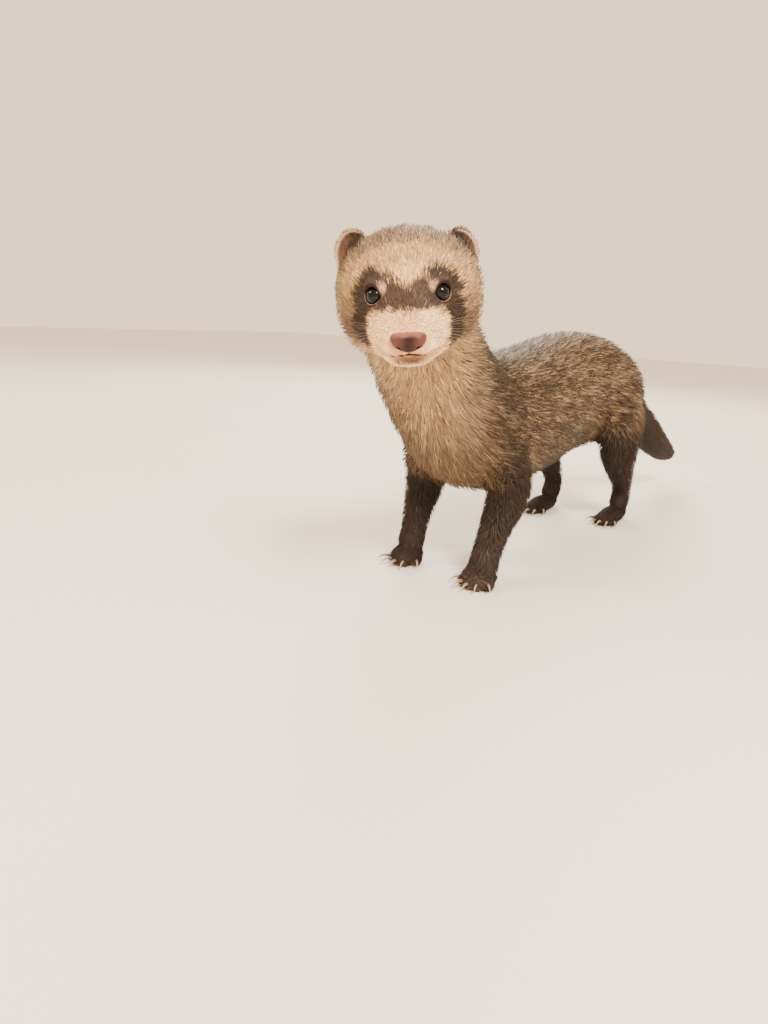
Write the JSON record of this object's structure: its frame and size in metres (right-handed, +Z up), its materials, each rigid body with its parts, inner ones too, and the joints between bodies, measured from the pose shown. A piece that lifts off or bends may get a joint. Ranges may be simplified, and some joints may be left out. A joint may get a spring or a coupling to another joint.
{
  "type": "ferret",
  "caption": "Life-size still model of a sable ferret standing on all fours with its head raised and turned aside; rests on its soles.",
  "frame": {"origin": "on the floor under the middle of the whole animal's box", "axes": "+Z up, +Y along the trunk from head to tail, +X to the ferret's left"},
  "size_m": [0.0928, 0.4726, 0.1647],
  "materials": {
    "cream_fur": "short dense cream fur with grey-brown tips",
    "sable_fur": "cream underfur with long dark brown guard hairs",
    "dark_fur": "dark brown fur of legs, feet and tail",
    "nose_skin": "moist pink-brown bare skin",
    "ear_skin": "thin pinkish skin with short down",
    "eye": "wet glossy black",
    "claw_horn": "pale translucent horn"
  },
  "bodies": {
    "root": {"head": "cream_fur", "lower_jaw": "cream_fur", "nose": "nose_skin", "neck": "sable_fur", "chest": "sable_fur", "belly": "sable_fur", "rump": "sable_fur", "tail": "dark_fur", "eye_left": "eye", "ear_left": "ear_skin", "fore_leg_left": "dark_fur", "fore_paw_left": "dark_fur", "hind_leg_left": "dark_fur", "hind_paw_left": "dark_fur", "eye_right": "eye", "ear_right": "ear_skin", "fore_leg_right": "dark_fur", "fore_paw_right": "dark_fur", "hind_leg_right": "dark_fur", "hind_paw_right": "dark_fur", "fore_claw_left_1": "claw_horn", "fore_claw_left_2": "claw_horn", "fore_claw_left_3": "claw_horn", "fore_claw_left_4": "claw_horn", "fore_claw_left_5": "claw_horn", "hind_claw_left_1": "claw_horn", "hind_claw_left_2": "claw_horn", "hind_claw_left_3": "claw_horn", "hind_claw_left_4": "claw_horn", "hind_claw_left_5": "claw_horn", "fore_claw_right_1": "claw_horn", "fore_claw_right_2": "claw_horn", "fore_claw_right_3": "claw_horn", "fore_claw_right_4": "claw_horn", "fore_claw_right_5": "claw_horn", "hind_claw_right_1": "claw_horn", "hind_claw_right_2": "claw_horn", "hind_claw_right_3": "claw_horn", "hind_claw_right_4": "claw_horn", "hind_claw_right_5": "claw_horn"}
  },
  "joints": []
}
